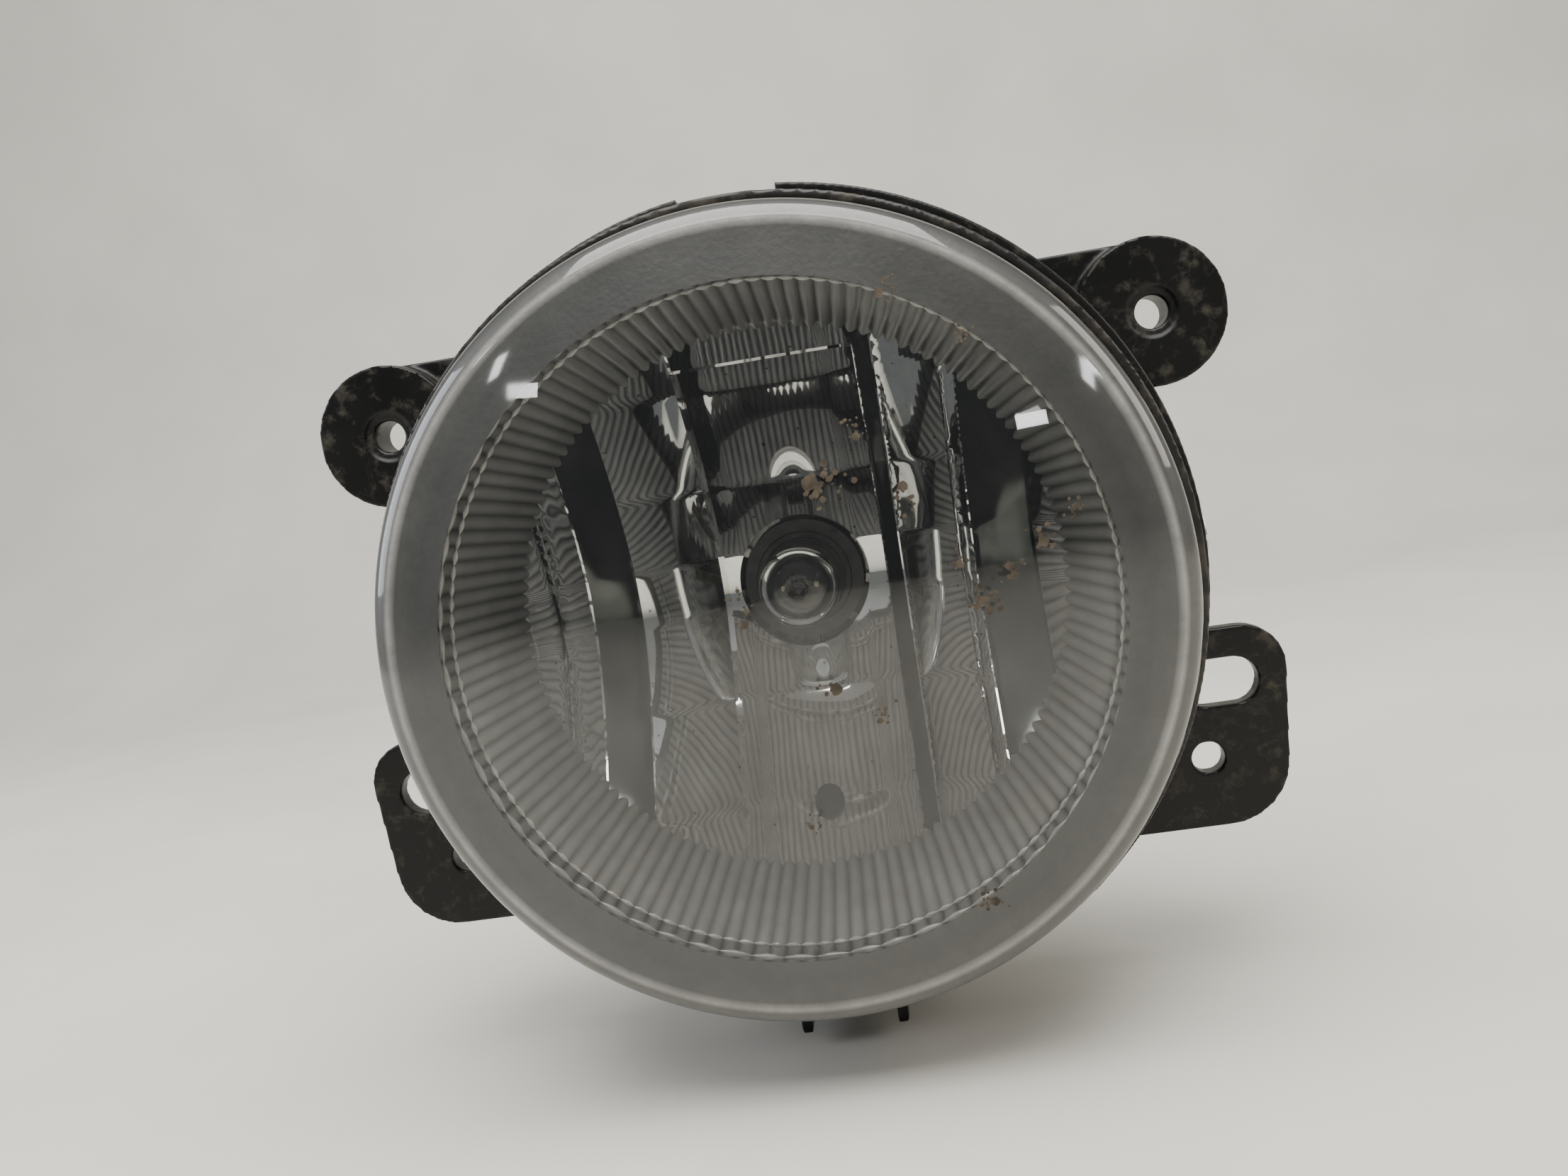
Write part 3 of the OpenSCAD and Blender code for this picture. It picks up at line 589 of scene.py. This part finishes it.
def makeReflectorShell():
    # Back of the moulding and the straight rim outside the skirt
    look = shellLook
    low, high = boxInMm("reflector")
    outer = high.x
    inner = outer - look["wallMm"]
    radii = [look["neckR"] + (outer - look["neckR"]) * i / 20 for i in range(21)]
    backs = [[r, look["vertexY"] - look["depthMm"] * (r / outer) ** 2] for r in radii]
    profile = [look["lip"]] + backs + [[outer, low.y], [inner, low.y], [inner, look["innerEndY"]]]
    points, faces = turned(lambda angle: profile, 144, closed=False)
    piece = meshPiece("reflectorShell", points, faces, 30)
    # Heat-proof moulded plastic left bare behind the coating: matt grey-beige
    bare = grainedMaterial({"name": "bareReflectorMoulding", "dark": "#7c786c", "light": "#938e80",
                            "patchMm": 8.0, "grainMm": 0.9, "rough": (0.5, 0.65)})
    placePiece(piece, "lamp", [bare])


makeReflector()
makeReflectorShell()
print("reflector made")


# Bulb: nose, quartz tube, coil

bulbLook = {"noseR": 9.25, "notchMm": 0.9, "notchFrom": 36, "notchTo": 44, "glassR": 6.0, "glassWall": 0.9,
            "tipRoundMm": 3.4, "coilR": 0.62, "coilTurns": 9, "wireR": 0.11}


def makeBulbGlass():
    low, high = boxInMm("bulb_glass")
    tip, back = low.y, high.y
    outer, wall, bend = bulbLook["glassR"], bulbLook["glassWall"], bulbLook["tipRoundMm"]
    profile = [(0.0, tip), (0.7, tip + 0.1), (1.1, tip + 0.55), (2.2, tip + 0.75)]
    profile += [(outer - bend + bend * math.sin(a), tip + 4.1 - bend * math.cos(a))
                for a in (math.radians(10 * k) for k in range(1, 10))]
    profile += [(outer, back - 6), (outer, back), (outer - wall, back)]
    profile += [(outer - wall, tip + 4.1)]
    profile += [(outer - bend + (bend - wall) * math.sin(a), tip + 4.1 - (bend - wall) * math.cos(a))
                for a in (math.radians(10 * k) for k in range(8, 0, -1))]
    profile += [(1.2, tip + 1.7), (0.0, tip + 1.75)]
    points, faces = turned(lambda angle: profile, 96)
    piece = meshPiece("bulbTube", points, faces, 50)
    placePiece(piece, "bulb", [quartzGlass()], ["bulb_glass"])


def makeCoil():
    low, high = boxInMm("bulb_filament")
    middle = (low + high) / 2
    half = (high.x - low.x) / 2 - 0.2
    turns = bulbLook["coilTurns"]
    route = [(-half, 0, 0)]
    for k in range(turns * 14 + 1):
        angle = 2 * math.pi * k / 14
        route.append((-half * 0.8 + 1.6 * half * k / (turns * 14),
                      bulbLook["coilR"] * math.sin(angle), bulbLook["coilR"] * math.cos(angle)))
    route.append((half, 0, 0))
    curve = bpy.data.curves.new("bulbCoil", "CURVE")
    curve.dimensions = "3D"
    curve.bevel_depth = bulbLook["wireR"] * mm
    curve.bevel_resolution = 2
    spline = curve.splines.new("POLY")
    spline.points.add(len(route) - 1)
    for point, step in zip(spline.points, route):
        point.co = [(a + b) * mm for a, b in zip(step, middle)] + [1]
    piece = bpy.data.objects.new("bulbCoil", curve)
    bpy.context.scene.collection.objects.link(piece)
    # Drawn tungsten wire: dark grey metal with a burnt tinge
    tungsten = grainedMaterial({"name": "drawnTungsten", "dark": "#3c3a38", "light": "#5d5a57",
                                "patchMm": 0.8, "grainMm": 0.2, "rough": (0.3, 0.5), "metallic": 1.0})
    piece.data.materials.append(tungsten)
    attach(piece, "bulb")
    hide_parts("bulb_filament")


def makeNose():
    # Stepped nose of the bulb holder, with the three keying notches in its rim
    front = boxInMm("bulb_base")[0].y
    rim = bulbLook["noseR"]

    def profileAt(angle):
        degrees = math.degrees(angle) % 120
        notch = bulbLook["notchMm"] if bulbLook["notchFrom"] < degrees < bulbLook["notchTo"] else 0.0
        return [(5.0, front + 0.2), (6.3, front + 0.2), (6.5, front - 0.55), (7.3, front - 0.55),
                (7.5, front - 0.1), (8.0 - notch, front - 0.1), (rim - notch, front - 0.1),
                (rim - notch, front + 1.2), (5.0, front + 1.2)]

    points, faces = turned(profileAt, 360)
    piece = meshPiece("bulbNose", points, faces, 25)
    # Mineral-filled moulded plastic, greyed by heat
    seat = grainedMaterial({"name": "heatGreyedPlastic", "dark": "#1b1c1b", "light": "#3a3b38",
                            "patchMm": 3.0, "grainMm": 0.4, "rough": (0.35, 0.55)})
    placePiece(piece, "bulb", [seat])


makeBulbGlass()
makeCoil()
makeNose()
print("bulb made")


# Mouldings: the exact solids with the rounded edges that a mould gives

def softened(name, cadNode, voxelMm, rounds, keep):
    source = bpy.data.objects.new(name + "Source", nodes[cadNode].data.copy())
    bpy.context.scene.collection.objects.link(source)
    work = bmesh.new()
    work.from_mesh(source.data)
    bmesh.ops.remove_doubles(work, verts=work.verts, dist=1e-6)
    work.to_mesh(source.data)
    work.free()
    remesh = source.modifiers.new("cells", "REMESH")
    remesh.mode = "VOXEL"
    remesh.voxel_size = voxelMm * mm
    ease = source.modifiers.new("ease", "SMOOTH")
    ease.factor = 0.5
    ease.iterations = rounds
    thin = source.modifiers.new("thin", "DECIMATE")
    thin.ratio = keep
    graph = bpy.context.evaluated_depsgraph_get()
    mesh = bpy.data.meshes.new_from_object(source.evaluated_get(graph))
    mesh.materials.clear()
    bpy.data.objects.remove(source)
    return shadedPiece(name, mesh, 50)


# Black polypropylene, moulded with a light texture: grey road dust sits in it and edges are scuffed pale
framePlastic = {"name": "mouldedPolypropylene", "dark": "#020202", "light": "#060606", "patchMm": 12.0,
                "grainMm": 0.6, "rough": (0.3, 0.46), "dust": "#454137", "dustMm": 3.6, "dustFrom": 0.53,
                "dustMost": 0.7, "scratchMm": 9.0, "scratch": "#4a463e", "scratchMost": 0.14, "bump": 0.3,
                "sockets": {"Specular IOR Level": 0.28}}
# Heat-proof black plastic of the housing: browner, with a film of dust on the lip
housingPlastic = {"name": "mouldedPolyester", "dark": "#080706", "light": "#16130f", "patchMm": 15.0,
                  "grainMm": 0.7, "rough": (0.34, 0.5), "dust": "#4a4337", "dustMm": 6.0, "dustFrom": 0.52,
                  "dustMost": 0.5, "scratchMm": 12.0, "scratch": "#4a453b", "scratchMost": 0.12, "bump": 0.3,
                  "sockets": {"Specular IOR Level": 0.4}}


def makeMouldings():
    bracket = softened("frameMoulding", "mounting_frame", 0.3, 5, 0.3)
    placePiece(bracket, "bracket", [grainedMaterial(framePlastic)], ["mounting_frame"])
    housing = softened("housingMoulding", "housing", 0.42, 3, 0.35)
    placePiece(housing, "lamp", [grainedMaterial(housingPlastic)], ["housing"])


makeMouldings()
print("mouldings rounded")


# Adjuster screw with its thread

screwLook = {"radius": 2.4, "threadDeep": 0.42, "pitch": 1.5}


def makeScrew():
    low, high = boxInMm("adjuster_screw")
    z = (low.z + high.z) / 2
    steps, length = 36, high.y - low.y
    rows = int(length / screwLook["pitch"] * 10)

    def profileAt(angle):
        outline = [(0.0, low.y)]
        for row in range(rows + 1):
            y = low.y + length * row / rows
            phase = (y / screwLook["pitch"] + angle / (2 * math.pi)) % 1
            valley = max(0.0, 1 - abs(phase - 0.5) * 3.2)
            ends = min(1.0, (y - low.y) / 0.8 + 0.35)
            crest = screwLook["radius"] * (1 - 0.25 * (1 - ends))
            outline.append((crest - screwLook["threadDeep"] * valley, y))
        return outline + [(0.0, high.y)]

    points, faces = turned(profileAt, steps, closed=False, axis=(0, z))
    piece = meshPiece("threadedRod", points, faces, 40)
    placePiece(piece, "adjuster", [platedSteel], ["adjuster_screw"])


# Zinc-plated steel, bright-passivated: satin, slightly yellow, with dull patches
platedSteel = grainedMaterial({"name": "zincPlatedSteel", "dark": "#8f8d84", "light": "#b9b7ac",
                               "patchMm": 2.5, "grainMm": 0.35,
                               "rough": (0.26, 0.45), "metallic": 1.0, "bump": 0.15})
makeScrew()
print("screw made")


# Finishes of the parts that keep their exact shape

nylon = grainedMaterial({"name": "mouldedNylon", "dark": "#cfc8b4", "light": "#ded9c8", "patchMm": 5.0,
                         "grainMm": 0.5, "rough": (0.38, 0.5), "dust": "#7d7464", "dustMm": 4.0,
                         "dustFrom": 0.58, "dustMost": 0.5,
                         "sockets": {"Subsurface Weight": 0.15, "Subsurface Scale": 0.001}})
acetal = grainedMaterial({"name": "mouldedAcetal", "dark": "#dad8cf", "light": "#eae8e0", "patchMm": 6.0,
                          "grainMm": 0.5, "rough": (0.28, 0.4), "dust": "#8d8675", "dustMm": 5.0,
                          "dustFrom": 0.58, "dustMost": 0.4,
                          "sockets": {"Subsurface Weight": 0.15, "Subsurface Scale": 0.001}})
sealant = grainedMaterial({"name": "curedSealant", "dark": "#1e1915", "light": "#3a3026", "patchMm": 4.0,
                           "grainMm": 0.8, "rough": (0.4, 0.6), "bump": 0.6})
springSteel = grainedMaterial({"name": "stampedStainless", "dark": "#8a8a86", "light": "#adada8",
                               "patchMm": 3.0, "grainMm": 0.3,
                               "rough": (0.2, 0.34), "metallic": 1.0, "bump": 0.1})
ventRubber = grainedMaterial({"name": "mouldedRubber", "dark": "#1c1b1a", "light": "#2b2a28", "patchMm": 6.0,
                              "grainMm": 0.5, "rough": (0.6, 0.75), "dust": "#57524a", "dustMm": 5.0,
                              "dustFrom": 0.54, "dustMost": 0.4})
holderPlastic = grainedMaterial({"name": "glassFilledHolderPlastic", "dark": "#0f100f", "light": "#1b1c1a",
                                 "patchMm": 7.0, "grainMm": 0.5, "rough": (0.35, 0.5), "dust": "#5d584c",
                                 "dustMm": 8.0, "dustFrom": 0.56, "dustMost": 0.35})
ringRubber = grainedMaterial({"name": "mouldedRingRubber", "dark": "#141413", "light": "#22211f",
                              "patchMm": 5.0, "grainMm": 0.4, "rough": (0.45, 0.6)})
leadWire = grainedMaterial({"name": "nickelWire", "dark": "#8d8474", "light": "#aaa08c", "patchMm": 1.2,
                            "grainMm": 0.2, "rough": (0.25, 0.4), "metallic": 1.0, "bump": 0.1})
tinnedBrass = grainedMaterial({"name": "tinnedBrass", "dark": "#a39a7e", "light": "#c4bda6", "patchMm": 2.0,
                               "grainMm": 0.3, "rough": (0.22, 0.36), "metallic": 1.0, "bump": 0.1})

keptFinish = {
    "pivot_bush_left": nylon, "pivot_bush_right": nylon, "adjuster_bush": nylon, "adjuster_knob": acetal,
    "adjuster_nut": acetal, "adjuster_push_nut": platedSteel, "lens_sealant": sealant,
    "reflector_screws": platedSteel, "pivot_pin_left": platedSteel, "pivot_pin_right": platedSteel,
    "bayonet_ring": springSteel, "vent_elbow": ventRubber, "bulb_base": holderPlastic,
    "bulb_o_ring": ringRubber, "bulb_wires": leadWire, "bulb_terminals": tinnedBrass}

for node, material in keptFinish.items():
    data = nodes[node].data
    data.materials.clear()
    data.materials.append(material)
    data.shade_smooth()
    data.set_sharp_from_angle(angle=math.radians(30))
print("finishes given to", len(keptFinish), "exact parts")


# Pale floor that curves up behind, and soft studio light

studio = {"floorZ": cadBox[0].z / mm - 0.1, "wide": 1400, "front": -900, "back": 640, "curve": 260,
          "high": 1100, "paper": "#c9c7bf"}


def makeStage():
    sweep = [(studio["front"], studio["floorZ"]), (studio["back"] - studio["curve"], studio["floorZ"])]
    for k in range(1, 13):
        angle = math.radians(7.5 * k)
        sweep.append((studio["back"] - studio["curve"] + studio["curve"] * math.sin(angle),
                      studio["floorZ"] + studio["curve"] * (1 - math.cos(angle))))
    sweep.append((studio["back"], studio["high"]))
    points = [(side * studio["wide"], y, z) for side in (-1, 1) for y, z in sweep]
    count = len(sweep)
    faces = [(i, i + 1, count + i + 1, count + i) for i in range(count - 1)]
    floor = meshPiece("studioPaper", points, faces, 60)
    paper, tree, shader, place = newMaterial("studioPaper", {"Roughness": 0.75})
    cloud = noiseAt(tree, place, 60.0, 4.0)
    tone = ramp(tree, cloud, [(0.3, "#c2bfb7"), (0.7, studio["paper"])])
    tree.links.new(tone, shader.inputs["Base Color"])
    floor.data.materials.append(paper)


def makeLight(name, place, aim, size, power, tint):
    data = bpy.data.lights.new(name, "AREA")
    data.shape = "RECTANGLE"
    data.size, data.size_y = size[0] * mm, size[1] * mm
    data.energy = power
    data.color = hexToLinear(tint)[:3]
    light = bpy.data.objects.new(name, data)
    light.location = Vector(place) * mm
    light.rotation_euler = (Vector(aim) - Vector(place)).to_track_quat("-Z", "Y").to_euler()
    bpy.context.scene.collection.objects.link(light)


roomLook = {"ahead": "#868989", "gap": "#7d8080", "sides": "#a9acad", "ceiling": "#c4c7c9", "strength": 0.9}


def makeRoom():
    # A plain grey room, a little darker to either side of straight ahead and lighter overhead
    world = bpy.data.worlds.new("room")
    bpy.context.scene.world = world
    world.use_nodes = True
    tree = world.node_tree
    tree.nodes.clear()
    place = addNode(tree, "ShaderNodeTexCoord")
    axes = addNode(tree, "ShaderNodeSeparateXYZ", links={"Vector": place.outputs["Generated"]})
    aside = addNode(tree, "ShaderNodeMath", settings={"operation": "ABSOLUTE"},
                    links={0: axes.outputs["X"]})
    ahead = addNode(tree, "ShaderNodeMath", settings={"operation": "MULTIPLY"}, values={1: -1.0},
                    links={0: axes.outputs["Y"]})
    turn = addNode(tree, "ShaderNodeMath", settings={"operation": "ARCTAN2"},
                   links={0: aside.outputs["Value"], 1: ahead.outputs["Value"]})
    share = addNode(tree, "ShaderNodeMapRange", values={"From Min": 0.0, "From Max": math.pi},
                    links={"Value": turn.outputs["Value"]})
    walls = ramp(tree, share.outputs["Result"], [
        (0.0, roomLook["ahead"]), (0.19, roomLook["ahead"]), (0.235, roomLook["gap"]),
        (0.36, roomLook["gap"]), (0.42, roomLook["sides"])])
    height = ramp(tree, axes.outputs["Z"], [(0.45, 0.0), (0.7, 1.0)])
    tone = addNode(tree, "ShaderNodeMix", settings={"data_type": "RGBA"},
                   values={"B": hexToLinear(roomLook["ceiling"])},
                   links={"Factor": height, "A": walls})
    sky = addNode(tree, "ShaderNodeBackground", values={"Strength": roomLook["strength"]},
                  links={"Color": tone.outputs["Result"]})
    addNode(tree, "ShaderNodeOutputWorld", links={"Surface": sky.outputs["Background"]})


makeStage()
makeRoom()
makeLight("ceiling", (0, -220, 640), (0, -30, 0), (700, 600), 12.0, "#fffdf8")
makeLight("leftWindow", (-640, -60, 260), (0, 0, 0), (420, 420), 3.2, "#f3f6ff")
makeLight("rightWindow", (640, -40, 280), (0, 0, 0), (380, 380), 2.4, "#fff8ee")
# two small far lamps that draw sharp glints on the glass
makeLight("leftStrip", (-748, -1229, 572), (-25, -31, 32), (90, 40), 0.3, "#ffffff")
makeLight("rightStrip", (642, -1325, 282), (33, -31, 20), (90, 40), 0.3, "#ffffff")
print("stage and lights ready")
